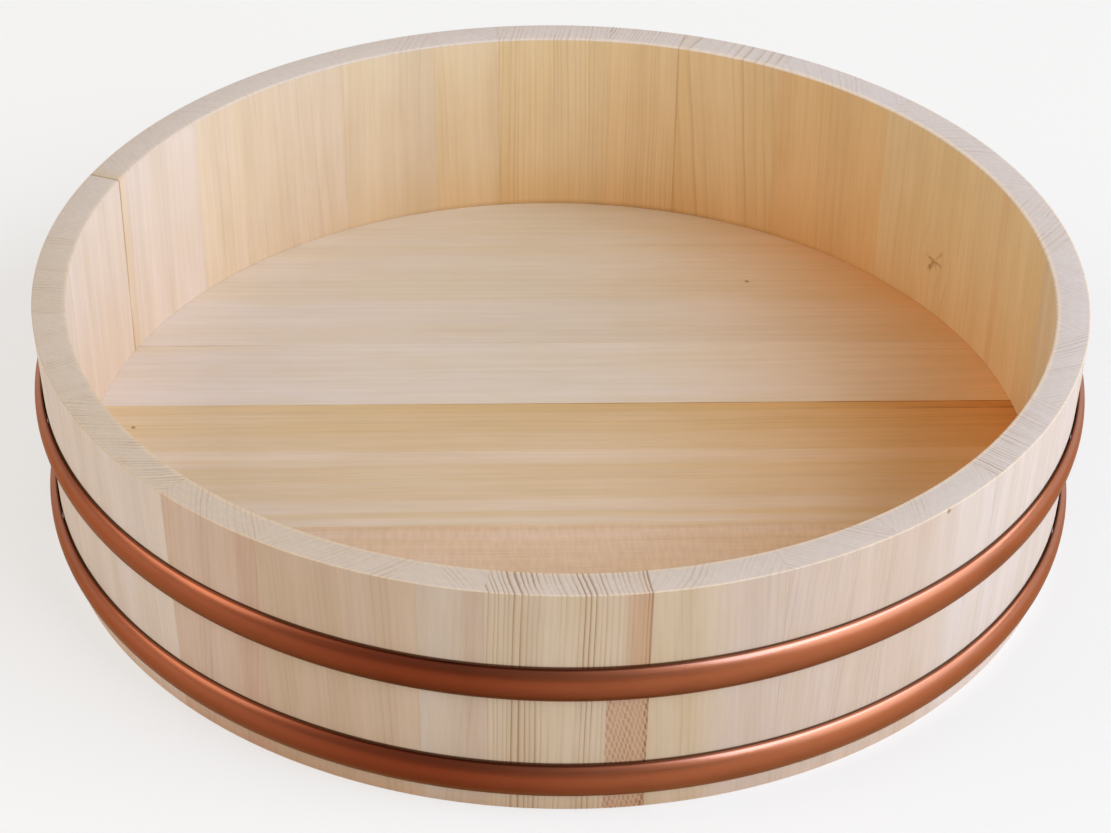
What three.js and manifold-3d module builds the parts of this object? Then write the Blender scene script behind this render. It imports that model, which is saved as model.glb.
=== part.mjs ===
// Sushi rice tub: a wide, shallow coopered tub of upright staves round a boarded floor, keyed with
// bamboo pins and bound by two half-round copper hoops. Millimetres, +Z up, origin at the centre of
// the foot. Angles run anticlockwise from +X, and the front of the tub faces -Y.

import * as THREE from 'three';
import { mergeVertices } from 'three/addons/utils/BufferGeometryUtils.js';
import Module from 'manifold-3d';

const wasm = await Module();
wasm.setup();

// Wall of staves
const rimDiameter = 360; // outside of the staves at the rim
const footDiameter = 350; // outside of the staves at the foot
const tubHeight = 89;
const rimWall = 11.5; // stave thickness at the rim
const footWall = 8.5; // stave thickness at the foot
const edgeEase = 1; // bevel on the ends of the staves
const firstJointAngle = 5; // degrees
// Widths of the staves along the rim, in order round the tub. The joints are planed so that the
// ring closes, which keeps these widths in proportion.
const staveWidths = [
  49, 74, 53, 44, 29, 45, 27, 40, 74, 52, 44, 50,
  53, 62, 39, 54, 21, 51, 43, 39, 46, 47, 47, 47,
];

// Floor of boards
const floorLift = 16.5; // foot of the tub to the upper face of the floor
const floorThickness = 9;
const floorEdge = 6; // thickness of the floor in its groove
const floorBevel = 12; // width of the bevel under the floor, just inside the wall
const grooveDepth = 4; // depth of the groove in the staves that holds the floor
const floorTurn = 2.2; // degrees from the X axis to the run of the boards
const frontJoint = -47; // joints of the floor boards, from the centre towards the back
const middleJoint = 27;
const backJoint = 66;

// Bamboo pins
const pinDiameter = 4;
const pinLength = 20;
const pinTip = 2; // length of the taper at each end of a pin
const pinTipDiameter = 2.4;
const pinStagger = 6; // neighbouring stave pins sit this far above and below the middle
const floorPinReach = 70; // centre of the floor to its pins, along the boards

// Copper hoops
const hoopWidth = 13.5;
const hoopProud = 3.4; // how far a hoop stands out from the wall
const hoopSheet = 0.8; // thickness of the copper
const upperHoopDrop = 29; // rim to the upper edge of the upper hoop
const lowerHoopLift = 6.3; // foot to the lower edge of the lower hoop

// Clearances
const jointGap = 0.2; // glue line between staves and between floor boards
const fitGap = 0.3; // hoops, floor edge and pins to what holds them

// Finishes
const staveTones = ['#dccbb8', '#cfb79d', '#d6c3ad'];
const floorTone = '#d4bb9a';
const bambooTone = '#b99a63';
const copperTone = '#b4764f';
const woodRoughness = 0.6;
const copperRoughness = 0.35;

// Fineness of the round surfaces
const facetAngle = 4; // degrees
const ringFacets = Math.round(360 / facetAngle);
const pinSides = 8;
const hoopOuterSteps = 8;
const hoopInnerSteps = 6;

const rimRadius = rimDiameter / 2;
const footRadius = footDiameter / 2;

function outsideAt(height) {
  return THREE.MathUtils.mapLinear(height, 0, tubHeight, footRadius, rimRadius);
}

function insideAt(height) {
  return THREE.MathUtils.mapLinear(height, 0, tubHeight, footRadius - footWall, rimRadius - rimWall);
}

const grooveRadius = insideAt(floorLift) + grooveDepth;
const floorUnderside = floorLift - floorThickness;
const floorEdgeUnderside = floorLift - floorEdge;
const stavePinLift = (floorLift + tubHeight) / 2;

// Shared vertices are merged and the triangles that collapse on the axis are dropped.
function welded(geometry) {
  const bare = new THREE.BufferGeometry();
  bare.setAttribute('position', geometry.attributes.position);
  bare.setIndex(geometry.index);
  const merged = mergeVertices(bare);
  const corners = merged.index.array;
  const kept = [];
  for (let i = 0; i < corners.length; i += 3) {
    const [a, b, c] = corners.slice(i, i + 3);
    if (a !== b && b !== c && c !== a) {
      kept.push(a, b, c);
    }
  }
  merged.setIndex(kept);
  return merged;
}

function toSolid(geometry) {
  const closed = welded(geometry);
  return new wasm.Manifold(new wasm.Mesh({
    numProp: 3,
    vertProperties: Float32Array.from(closed.attributes.position.array),
    triVerts: Uint32Array.from(closed.index.array),
  }));
}

function toGeometry(solid) {
  const mesh = solid.getMesh();
  const geometry = new THREE.BufferGeometry();
  geometry.setAttribute('position', new THREE.BufferAttribute(mesh.vertProperties, 3));
  geometry.setIndex(new THREE.BufferAttribute(mesh.triVerts, 1));
  geometry.computeVertexNormals();
  return geometry;
}

// A profile of (radius, height) points turned about the tub's axis.
function turned(profile, facets) {
  return new THREE.LatheGeometry(profile, facets).rotateX(Math.PI / 2);
}

function point(radius, height) {
  return new THREE.Vector2(radius, height);
}

function piece(name, geometry, colour, roughness, metalness = 0) {
  const material = new THREE.MeshStandardMaterial({ color: colour, roughness, metalness });
  const mesh = new THREE.Mesh(geometry, material);
  mesh.name = name;
  return mesh;
}

function numbered(index) {
  return String(index + 1).padStart(2, '0');
}

// Section of a stave, anticlockwise from the inner edge of its foot.
function staveSection() {
  const grooveTop = floorLift + fitGap;
  const grooveFoot = floorEdgeUnderside - fitGap;
  return [
    point(insideAt(0) + edgeEase, 0),
    point(outsideAt(0) - edgeEase, 0),
    point(outsideAt(edgeEase), edgeEase),
    point(outsideAt(tubHeight - edgeEase), tubHeight - edgeEase),
    point(outsideAt(tubHeight) - edgeEase, tubHeight),
    point(insideAt(tubHeight) + edgeEase, tubHeight),
    point(insideAt(tubHeight - edgeEase), tubHeight - edgeEase),
    point(insideAt(grooveTop), grooveTop),
    point(grooveRadius, grooveTop),
    point(grooveRadius, grooveFoot),
    point(insideAt(grooveFoot), grooveFoot),
    point(insideAt(edgeEase), edgeEase),
  ];
}

// A stave before its pin holes: its section swept round the tub, closed by a flat side at each joint.
function staveBlank(section, startAngle, endAngle) {
  const sweep = endAngle - startAngle;
  const facets = Math.max(2, Math.round(sweep / THREE.MathUtils.degToRad(facetAngle)));
  const outline = [...section, section[0]];
  const blank = new THREE.LatheGeometry(outline, facets, startAngle + Math.PI / 2, sweep);
  const farSide = facets * outline.length; // first vertex of the side at the end angle
  const corners = Array.from(blank.index.array);
  for (const [a, b, c] of THREE.ShapeUtils.triangulateShape(section, [])) {
    corners.push(a, b, c);
    corners.push(farSide + c, farSide + b, farSide + a);
  }
  blank.setIndex(corners);
  return blank.rotateX(Math.PI / 2);
}

// Angles of the joints between staves, closing the ring.
function jointAngles() {
  const widthSum = staveWidths.reduce((sum, width) => sum + width, 0);
  const angles = [];
  let angle = THREE.MathUtils.degToRad(firstJointAngle);
  for (const width of staveWidths) {
    angles.push(angle);
    angle += (2 * Math.PI * width) / widthSum;
  }
  return angles;
}

// A pin is turned along its own Y axis, and its hole is the same place with clearance all round.
function pinGeometry() {
  const radius = pinDiameter / 2;
  const half = pinLength / 2;
  const profile = [
    point(0, -half),
    point(pinTipDiameter / 2, -half),
    point(radius, pinTip - half),
    point(radius, half - pinTip),
    point(pinTipDiameter / 2, half),
    point(0, half),
  ];
  return welded(new THREE.LatheGeometry(profile, pinSides));
}

function pinHole(pin) {
  const radius = pinDiameter / 2 + fitGap;
  const hole = new THREE.CylinderGeometry(radius, radius, pinLength + 2 * fitGap, pinSides);
  pin.updateMatrix();
  return toSolid(hole.applyMatrix4(pin.matrix));
}

function addStaves(tub) {
  const section = staveSection();
  const angles = jointAngles();
  const halfGap = jointGap / rimDiameter; // half a glue line, as an angle at the rim
  const pinRadius = (insideAt(stavePinLift) + outsideAt(stavePinLift)) / 2;

  const pins = angles.map((angle, i) => {
    const pin = piece(`stave_pin_${numbered(i)}`, pinGeometry(), bambooTone, woodRoughness);
    const height = stavePinLift + (i % 2 ? pinStagger : -pinStagger);
    pin.position.set(pinRadius * Math.cos(angle), pinRadius * Math.sin(angle), height);
    pin.rotation.z = angle;
    return pin;
  });

  angles.forEach((angle, i) => {
    const next = (i + 1) % angles.length;
    const endAngle = next === 0 ? angles[0] + 2 * Math.PI : angles[next];
    const blank = toSolid(staveBlank(section, angle + halfGap, endAngle - halfGap));
    const drilled = blank.subtract(pinHole(pins[i])).subtract(pinHole(pins[next]));
    const tone = staveTones[i % staveTones.length];
    tub.add(piece(`stave_${numbered(i)}`, toGeometry(drilled), tone, woodRoughness));
  });
  tub.add(...pins);
}

function addFloor(tub) {
  const floor = new THREE.Group();
  floor.rotation.z = THREE.MathUtils.degToRad(floorTurn);
  const edgeRadius = grooveRadius - fitGap;
  const clearRadius = Math.min(insideAt(floorLift), insideAt(floorEdgeUnderside)) - fitGap;
  const joints = [frontJoint, middleJoint, backJoint];
  const disc = toSolid(turned([
    point(0, floorUnderside),
    point(clearRadius - floorBevel, floorUnderside),
    point(clearRadius, floorEdgeUnderside),
    point(edgeRadius, floorEdgeUnderside),
    point(edgeRadius, floorLift),
    point(0, floorLift),
  ], ringFacets));

  const pins = [];
  joints.forEach((joint) => {
    for (const side of [-1, 1]) {
      const pin = piece(`floor_pin_${pins.length + 1}`, pinGeometry(), bambooTone, woodRoughness);
      pin.position.set(side * floorPinReach, joint, floorLift - floorThickness / 2);
      pins.push(pin);
    }
  });

  const boardNames = ['front', 'wide', 'narrow', 'back'];
  boardNames.forEach((name, i) => {
    const low = i === 0 ? -rimRadius : joints[i - 1] + jointGap / 2;
    const high = i === joints.length ? rimRadius : joints[i] - jointGap / 2;
    const strip = new THREE.BoxGeometry(rimDiameter, high - low, tubHeight);
    strip.translate(0, (low + high) / 2, tubHeight / 2);
    let board = disc.intersect(toSolid(strip));
    for (const pin of pins) {
      board = board.subtract(pinHole(pin));
    }
    floor.add(piece(`floor_board_${name}`, toGeometry(board), floorTone, woodRoughness));
  });
  floor.add(...pins);
  tub.add(floor);
}

// Section of a hoop: sheet copper bowed to a half-round, its two lips against the sloping wall.
function hoopSection(footHeight) {
  const half = hoopWidth / 2;
  const innerBow = hoopProud - hoopSheet;
  const innerHalf = half - hoopSheet;
  const quarter = Math.PI / 2;
  const outer = new THREE.EllipseCurve(0, 0, hoopProud, half, -quarter, quarter, false);
  const inner = new THREE.EllipseCurve(0, 0, innerBow, innerHalf, quarter, -quarter, true);
  const bow = [...outer.getPoints(hoopOuterSteps), ...inner.getPoints(hoopInnerSteps)];

  const middle = footHeight + half;
  const lean = Math.atan2(rimRadius - footRadius, tubHeight);
  const place = point(outsideAt(middle) + fitGap, middle);
  const section = bow.map((p) => p.rotateAround(point(0, 0), -lean).add(place));
  return [...section, section[0].clone()];
}

function hoop(name, footHeight) {
  const ring = turned(hoopSection(footHeight), ringFacets);
  return piece(name, ring, copperTone, copperRoughness, 1);
}

function addHoops(tub) {
  tub.add(hoop('upper_hoop', tubHeight - upperHoopDrop - hoopWidth));
  tub.add(hoop('lower_hoop', lowerHoopLift));
}

const riceTub = new THREE.Group();
addStaves(riceTub);
addFloor(riceTub);
addHoops(riceTub);

export default riceTub;
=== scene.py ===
import math

import bpy
from mathutils import Matrix, Vector


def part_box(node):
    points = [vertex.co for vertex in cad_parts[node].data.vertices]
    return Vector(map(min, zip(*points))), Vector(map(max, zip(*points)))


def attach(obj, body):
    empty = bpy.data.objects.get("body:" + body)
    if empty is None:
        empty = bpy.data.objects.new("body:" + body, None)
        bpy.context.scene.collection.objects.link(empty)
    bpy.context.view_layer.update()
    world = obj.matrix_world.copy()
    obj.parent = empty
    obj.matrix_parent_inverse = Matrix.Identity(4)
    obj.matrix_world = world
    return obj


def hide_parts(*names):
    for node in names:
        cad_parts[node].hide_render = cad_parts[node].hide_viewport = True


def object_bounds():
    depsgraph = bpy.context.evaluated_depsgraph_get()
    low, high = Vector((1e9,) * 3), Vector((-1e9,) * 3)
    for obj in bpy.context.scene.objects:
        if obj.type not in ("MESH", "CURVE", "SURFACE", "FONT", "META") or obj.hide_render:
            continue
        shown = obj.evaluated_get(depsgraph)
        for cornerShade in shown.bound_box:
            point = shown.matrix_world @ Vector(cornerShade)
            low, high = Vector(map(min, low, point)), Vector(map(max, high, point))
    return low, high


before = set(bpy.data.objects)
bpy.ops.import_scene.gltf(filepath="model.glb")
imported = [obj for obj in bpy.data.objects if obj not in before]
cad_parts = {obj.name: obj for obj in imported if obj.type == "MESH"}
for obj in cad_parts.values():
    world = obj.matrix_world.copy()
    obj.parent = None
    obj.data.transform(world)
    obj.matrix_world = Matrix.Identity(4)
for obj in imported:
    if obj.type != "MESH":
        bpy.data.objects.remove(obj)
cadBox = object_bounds()
tubTop = cadBox[1].z
print("frame:", len(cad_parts), "nodes of the tub,", round(tubTop * 1000, 1), "mm tall")

mm = 0.001
degree = math.pi / 180


def tint(red, green, blue):  # a colour as it reads on screen, 0 to 255, made linear
    def linear(value):
        share = value / 255
        return share / 12.92 if share <= 0.04045 else ((share + 0.055) / 1.055) ** 2.4
    return (linear(red), linear(green), linear(blue), 1.0)


def lerp(low, high, share):
    return low + (high - low) * share


def clamp(value, low=0.0, high=1.0):
    return max(low, min(high, value))


def bell(angle, middle, width, height=1.0):  # highest in one direction round the tub, fading to 0 beside it
    turn = (angle - middle + math.pi) % math.tau - math.pi
    return height * math.exp(-(turn / width) ** 2)


def mixTones(first, second, share):
    return [lerp(one, two, share) for one, two in zip(first, second)]


def addObject(name, data):
    thing = bpy.data.objects.new(name, data)
    bpy.context.scene.collection.objects.link(thing)
    return thing


# Camera: looks along +Y and down into the tub, found from the rim and foot ellipses of the photograph
cameraSet = {
    "place": (0.0, -0.957, 0.6926),
    "pitch": 34.73 * degree,
    "yaw": 0.08 * degree,
    "roll": 0.82 * degree,
    "lens": 106.93,
    "sensor": 36.0,
    "nearest": 0.05,
    "farthest": 60,
}


def aimCamera():
    camera = addObject("tubCamera", bpy.data.cameras.new("tubCamera"))
    camera.data.lens = cameraSet["lens"]
    camera.data.sensor_width = cameraSet["sensor"]
    camera.data.clip_start = cameraSet["nearest"]
    camera.data.clip_end = cameraSet["farthest"]
    turn = Matrix.Rotation(cameraSet["yaw"], 4, "Z")
    tilt = Matrix.Rotation(math.pi / 2 - cameraSet["pitch"], 4, "X")
    roll = Matrix.Rotation(cameraSet["roll"], 4, "Z")
    camera.matrix_world = Matrix.Translation(cameraSet["place"]) @ turn @ tilt @ roll
    bpy.context.scene.camera = camera


aimCamera()
print("camera: set")


# Mesh helpers
def makePiece(name, points, faces, marks, node, creaseAngle=30 * degree):
    mesh = bpy.data.meshes.new(name)
    mesh.from_pydata(points, [], faces)
    mesh.update()
    mesh.polygons.foreach_set("use_smooth", [True] * len(mesh.polygons))
    mesh.set_sharp_from_angle(angle=creaseAngle)
    for label, values in marks.items():  # kept on every vertex, and read by name in the materials
        isColour = len(values[0]) == 4
        layer = mesh.attributes.new(label, "FLOAT_COLOR" if isColour else "FLOAT_VECTOR", "POINT")
        flat = [number for value in values for number in value]
        layer.data.foreach_set("color" if isColour else "vector", flat)
    piece = addObject(name, mesh)
    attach(piece, "root")
    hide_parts(node)
    return piece


def addMarks(marks, values):  # the marks of one more vertex
    for name, value in values.items():
        marks.setdefault(name, []).append(value)


def roundedOutline(corners, steps=4):  # corners are (across, up, radius), the radius 0 where it stays sharp
    outline = []
    for index, (across, up, radius) in enumerate(corners):
        here = Vector((across, up))
        if radius == 0:
            outline.append(here)
            continue
        before = Vector(corners[index - 1][:2])
        after = Vector(corners[(index + 1) % len(corners)][:2])
        start = here + (before - here).normalized() * radius
        end = here + (after - here).normalized() * radius
        for step in range(steps + 1):
            share = step / steps
            outline.append(start.lerp(here, share).lerp(here.lerp(end, share), share))
    return outline


def insetOutline(outline, depth):  # moves a counter-clockwise outline's points in along their normals
    moved = []
    for index, here in enumerate(outline):
        along = (outline[(index + 1) % len(outline)] - outline[index - 1]).normalized()
        moved.append(here + Vector((-along.y, along.x)) * depth)
    return moved


# Grain: how each board was sawn from its log, kept on the mesh as places measured from the log's centre
toneSet = {
    "ivory": tint(239, 223, 213),  # outside of the wall
    "pale": tint(219, 204, 196),
    "cream": tint(217, 195, 168),
    "fawn": tint(216, 196, 176),
    "blush": tint(213, 192, 177),
    "rose": tint(226, 198, 179),
    "straw": tint(213, 190, 161),
    "tan": tint(217, 190, 164),
    "milk": tint(231, 216, 204),  # inside of the wall
    "oat": tint(231, 212, 188),
    "barley": tint(232, 212, 182),
    "corn": tint(237, 214, 176),
    "wheat": tint(240, 214, 170),
    "amber": tint(240, 205, 155),
    "toast": tint(240, 210, 163),
    "bone": tint(231, 222, 221),  # rim, painted lit and cool at the right and shaded and warm at the left
    "ash": tint(217, 199, 178),
    "linen": tint(229, 212, 188),  # floor
    "dust": tint(204, 186, 156),
    "chalk": tint(232, 217, 204),
    "clay": tint(210, 194, 173),
    "lilac": tint(230, 215, 203),
    "mauve": tint(224, 209, 190),
    "shell": tint(220, 193, 168),
    "biscuit": tint(241, 211, 180),
    "honey": tint(229, 203, 167),
    "hay": tint(210, 175, 127),
    "sand": tint(220, 201, 179),
    "oyster": tint(239, 211, 180),
    # painted warm shade towards the right wall, mixed in by the red shade
    "caramel": tint(240, 174, 102),
}
sawing = {  # where the log's centre lay, across and outward from the board, and its drift along the grain
    "quarter": {"centre": (0.21, 0.03), "drift": (0.006, 0.03)},
    "hatch": {"centre": (0.20, -0.042), "drift": (0.002, 0.004)},
    "rift": {"centre": (0.12, -0.10), "drift": (0.008, -0.01)},
    "riftBack": {"centre": (-0.13, -0.09), "drift": (-0.008, 0.01)},
    "leaning": {"centre": (0.24, 0.02), "drift": (0.085, 0.0)},
}


def grainPlaces(places, saw):
    centre = sawing[saw]["centre"]
    drift = sawing[saw]["drift"]
    grain = []
    for across, outward, along in places:
        grain.append((across - centre[0] - drift[0] * along, outward - centre[1] - drift[1] * along, along))
    return grain


# Staves: 24 boards of mixed width, eased at the rim and the foot and grooved for the floor
staveSet = {
    "rimRadius": 180 * mm,
    "footRadius": 175 * mm,
    "rimWall": 11.5 * mm,
    "footWall": 8.5 * mm,
    "rimRound": 0.45 * mm,
    "rimEase": 0.85 * mm,
    "rimFlat": 0.056 * mm,
    "footRound": 1.1 * mm,
    "grooveRound": 0.15 * mm,
    "grooveDepth": 4 * mm,
    "grooveGap": 0.06 * mm,
    "floorEdge": 6 * mm,
    "jointEase": 0.05 * mm,
    "cadGap": 0.2 * mm,
    "jointGap": 0.01 * mm,
    "columnStep": 1.2 * degree,
    "leastColumns": 4,
    "seedStep": 3.7,
    "faintGlue": 0.05,
    "edgeBlend": 4 * degree,
    "litSide": 35 * degree,  # direction of the lit side, where the rim's painted light is coolest
    "footWarm": 1.25,  # share of the foot's painted warm shade, and what facing the light takes from it
    "footCool": 1.2,
    "rimWearAndSheen": 1.2,  # how pale the rim's edges are on the lit side, from wear and painted highlight
    "rimShy": (110 * degree, 45 * degree, 0.75),  # direction, reach and share of what they lack
    "rimGleam": (227 * degree, 25 * degree, 0.6),  # and of the painted highlight they gain
    "cornerShadeAt": (83 * degree, 32 * degree),  # where the inner wall's painted warm shade by the floor is strongest
    "paleCorner": (140 * degree, 22 * degree, 0.5),  # and where its painted shade is weakest
}
# The warm inside tones of staves 1 to 6 are partly painted shade on the tub's shaded inner right
staveHabits = [  # outside tone, inside tone, ring width in mm, strength of the lines, sawing
    ("cream", "wheat", 2.2, 0.24, "rift"),
    ("cream", "wheat", 2.8, 0.26, "riftBack"),
    ("pale", "amber", 2.0, 0.20, "rift"),
    ("cream", "toast", 4.2, 0.48, "leaning"),
    ("tan", "toast", 1.5, 0.55, "quarter"),
    ("cream", "wheat", 1.9, 0.52, "quarter"),
    ("blush", "corn", 2.2, 0.20, "rift"),
    ("cream", "barley", 2.4, 0.18, "riftBack"),
    ("pale", "oat", 2.0, 0.20, "rift"),
    ("blush", "milk", 2.4, 0.12, "riftBack"),
    ("pale", "milk", 2.2, 0.14, "rift"),
    ("cream", "milk", 1.6, 0.25, "quarter"),
    ("ivory", "milk", 1.4, 0.30, "hatch"),
    ("ivory", "oat", 1.6, 0.25, "riftBack"),
    ("rose", "oat", 1.7, 0.32, "rift"),
    ("tan", "oat", 1.9, 0.25, "riftBack"),
    ("fawn", "oat", 1.8, 0.22, "rift"),
    ("cream", "wheat", 1.6, 1.2, "hatch"),
    ("straw", "oat", 1.9, 0.22, "riftBack"),
    ("blush", "oat", 1.5, 0.30, "rift"),
    ("blush", "milk", 1.6, 0.22, "riftBack"),
    ("pale", "oat", 1.4, 0.22, "quarter"),
    ("pale", "barley", 1.7, 0.28, "rift"),
    ("pale", "barley", 1.9, 0.28, "riftBack"),
]
# Red wood by a stave's last joint: width above and below a height in mm, strength, wild grain below, face
staveHearts = {
    1: (5, 5, 50, 0.30, 0.0, "inside"),
    15: (8, 10, 50, 0.35, 0.0, "outside"),
    17: (6, 6, 50, 0.30, 0.0, "outside"),
    18: (7.5, 13, 53, 0.75, 1.0, "outside"),
}
noHeart = (0, 0, 0, 0, 0, "outside")
staveEdges = {  # another outside tone beside the last joint, and how far it reaches
    19: ("blush", 7 * degree),
    21: ("pale", 7 * degree),
}
staveGlue = {10: 0.62, 4: 0.4, 6: 0.2, 14: 0.2, 18: 0.3}  # dark line at a stave's last joint
staveRims = {14: 2.8, 22: 2.8}  # grain that stands out more on the rim
staveKnots = {2: (33.5 * degree, 38.5 * mm)}  # direction and height of a small knot
staveChips = {21: (312.3 * degree, 88 * mm)}  # direction and height of a small chip


def outsideAt(height):
    return lerp(staveSet["footRadius"], staveSet["rimRadius"], height / tubTop)


def insideAt(height):
    return outsideAt(height) - lerp(staveSet["footWall"], staveSet["rimWall"], height / tubTop)


def staveOutline(floorTop):
    grooveTop = floorTop + staveSet["grooveGap"]
    grooveFoot = floorTop - staveSet["floorEdge"] - staveSet["grooveGap"]
    grooveRadius = insideAt(floorTop) + staveSet["grooveDepth"]
    corners = [
        (insideAt(0), 0, staveSet["footRound"]),
        (outsideAt(0), 0, staveSet["footRound"]),
        (outsideAt(tubTop), tubTop, staveSet["rimRound"]),
        (insideAt(tubTop), tubTop, staveSet["rimEase"]),
        (insideAt(grooveTop), grooveTop, staveSet["grooveRound"]),
        (grooveRadius, grooveTop, 0),
        (grooveRadius, grooveFoot, 0),
        (insideAt(grooveFoot), grooveFoot, staveSet["grooveRound"]),
    ]
    return roundedOutline(corners)


def insideShare(across, up):  # 1 on the inner face, 0 on the outer face and on the rim
    depth = (outsideAt(up) - across) / (outsideAt(up) - insideAt(up))
    return clamp(depth * 2 - 1) * clamp((tubTop - up) / staveSet["rimEase"])


def staveSpan(node):  # middle direction and the angles of the two joint faces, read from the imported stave
    points = [vertex.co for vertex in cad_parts[node].data.vertices]
    middle = math.atan2(sum(point.y for point in points), sum(point.x for point in points))
    turns = []
    for point in points:
        turn = math.atan2(point.y, point.x) - middle
        turns.append((turn + math.pi) % math.tau - math.pi)
    closing = (staveSet["cadGap"] - staveSet["jointGap"]) / 2 / staveSet["rimRadius"]
    return middle, min(turns) - closing, max(turns) + closing


def sweepFaces(size, columns, isRing=False):  # a section's skin through columns, with ends unless a ring
    faces = [] if isRing else [list(range(size))]
    for column in range(columns if isRing else columns - 1):
        here = column * size
        there = (column + 1) % columns * size
        for row in range(size):
            after = (row + 1) % size
            faces.append([here + row, there + row, there + after, here + after])
    if not isRing:
        faces.append([(columns - 1) * size + row for row in range(size)][::-1])
    return faces


# What the wood reads at a point of a stave, left being the angle from there to the stave's last joint
def staveMarks(number, angle, left, across, up):
    outerTone, innerTone, rings, lines = staveHabits[number - 1][:4]
    heartAbove, heartBelow, heartStep, heartShare, wild, heartFace = staveHearts.get(number, noHeart)
    edgeTone, edgeWidth = staveEdges.get(number, (outerTone, 0.0))
    knotAngle, knotHeight = staveKnots.get(number, (0.0, 0.0))
    chipAngle, chipHeight = staveChips.get(number, (0.0, -1.0))
    inside = insideShare(across, up)
    away = across * left
    edgeShare = clamp((edgeWidth - left) / staveSet["edgeBlend"] + 0.5)
    outside = mixTones(toneSet[outerTone], toneSet[edgeTone], edgeShare)
    heartHere = inside if heartFace == "inside" else 1 - inside
    knotHere = inside if number in staveKnots else 0.0
    chipAway = across * math.cos(angle - chipAngle) - outsideAt(chipHeight)
    litFacing = math.sqrt((1 + math.cos(angle - staveSet["litSide"])) / 2)
    wearAndSheen = staveSet["rimWearAndSheen"] * litFacing * (1 - bell(angle, *staveSet["rimShy"]))
    wearAndSheen += bell(angle, *staveSet["rimGleam"])
    if up > tubTop - staveSet["rimFlat"]:
        lines *= staveRims.get(number, 1.0)
    return {
        "boardTone": mixTones(outside, toneSet[innerTone], inside),
        # the rim's tone is painted light: cool and pale on the side facing the light, warm on the shaded
        # side
        "rimTone": mixTones(toneSet["ash"], toneSet["bone"], litFacing),
        "rimPlace": (across - insideAt(up), outsideAt(up) - across, wearAndSheen),
        "wallShade": (
            inside * (1 - bell(angle, *staveSet["paleCorner"])),
            inside * bell(angle, *staveSet["cornerShadeAt"]),
            clamp(staveSet["footWarm"] - staveSet["footCool"] * litFacing),
        ),
        "grainHabit": (rings * mm, lines, number * staveSet["seedStep"]),
        "heartMark": (away, heartShare * heartHere, wild * heartHere),
        "heartSize": (heartAbove * mm, heartBelow * mm, heartStep * mm),
        "jointMark": (away, staveGlue.get(number, staveSet["faintGlue"]), 0.0),
        "knotMark": (across * (angle - knotAngle), up - knotHeight, knotHere),
        "hoopMark": (up - upperTop, up - lowerTop, 1 - inside),
        "speckMark": (across * math.sin(angle - chipAngle), up - chipHeight, chipAway),
    }


def buildStave(number, outline):
    node = f"stave_{number:02d}"
    middle, first, last = staveSpan(node)
    ease = staveSet["jointEase"] / staveSet["rimRadius"]
    columns = max(staveSet["leastColumns"], round((last - first) / staveSet["columnStep"]))
    eased = insetOutline(outline, staveSet["jointEase"])
    sections = [(first, eased)]
    for column in range(columns + 1):
        sections.append((lerp(first + ease, last - ease, column / columns), outline))
    sections.append((last, eased))
    middleRadius = (outsideAt(tubTop / 2) + insideAt(tubTop / 2)) / 2
    points = []
    places = []
    marks = {}
    for turn, section in sections:
        angle = middle + turn
        for across, up in section:
            points.append((across * math.cos(angle), across * math.sin(angle), up))
            places.append((across * math.sin(turn), across * math.cos(turn) - middleRadius, up))
            addMarks(marks, staveMarks(number, angle, last - turn, across, up))
    marks["grainPlace"] = grainPlaces(places, staveHabits[number - 1][-1])
    faces = sweepFaces(len(outline), len(sections))
    return makePiece(f"wallStave_{number:02d}", points, faces, marks, node)


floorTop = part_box("floor_board_wide")[1].z
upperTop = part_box("upper_hoop")[1].z
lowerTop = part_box("lower_hoop")[1].z
staveShape = staveOutline(floorTop)
staves = [buildStave(number, staveShape) for number in range(1, len(staveHabits) + 1)]
print("staves:", len(staves), "with", len(staveShape), "points in the section")


# Floor: four boards edge to edge, each with a tongue in the staves' groove and a bevel below
floorSet = {
    "turn": 2.2 * degree,
    "thick": 9 * mm,
    "tongue": 6 * mm,
    "bevel": 12 * mm,
    "fit": 0.3 * mm,
    "clear": 0.1 * mm,
    "cadGap": 0.2 * mm,
    "jointGap": 0.03 * mm,
    "jointEase": 0.16 * mm,
    "arcSteps": 40,
    "firstSeed": 90,
    "seedStep": 5.3,
}
# Tones at the left and right ends of the far and near edges, partly painted light: darker at the far right
# of the wide, narrow and back boards, which the right wall shades, and lighter at the wide board's near
# right. Painted red shade and lines from far to near, rings in mm
floorHabits = {
    "front": {
        "far": ("shell", "biscuit"), "near": ("shell", "biscuit"), "redShade": (0.6, 0.6), "rings": 1.5,
        "lines": (0.30, 0.30), "bands": 0.6, "saw": "quarter", "flecks": 1.0,
    },
    "wide": {
        "far": ("honey", "hay"), "near": ("sand", "oyster"), "redShade": (1.3, 0.6), "rings": 1.3,
        "lines": (0.55, 0.22), "bands": 1.1, "saw": "quarter",
        "glue": (0.2, 0.85), "golden": 1.0, "speck": (-152 * mm, 7.4 * mm),
    },
    "narrow": {
        "far": ("lilac", "mauve"), "near": ("lilac", "mauve"), "redShade": (0.9, 0.9), "rings": 2.4,
        "lines": (0.12, 0.12), "bands": 0.2, "saw": "rift", "glue": (0.68, -1.8),
    },
    "back": {
        "far": ("linen", "dust"), "near": ("chalk", "clay"), "redShade": (1.9, 0.9), "rings": 2.6,
        "lines": (0.12, 0.12), "bands": 0.2, "saw": "riftBack", "speck": (71 * mm, 111 * mm),
    },
}
plainBoard = {
    "glue": (0.0, 0.0),  # dark line at the far joint, at its left and right ends
    "golden": 0.0,  # a golden far side, with painted shade at its right end
    "flecks": 0.0,  # small flecks across the grain
    "speck": (1.0, 1.0),  # a pin knot, here off the tub
}


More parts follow.
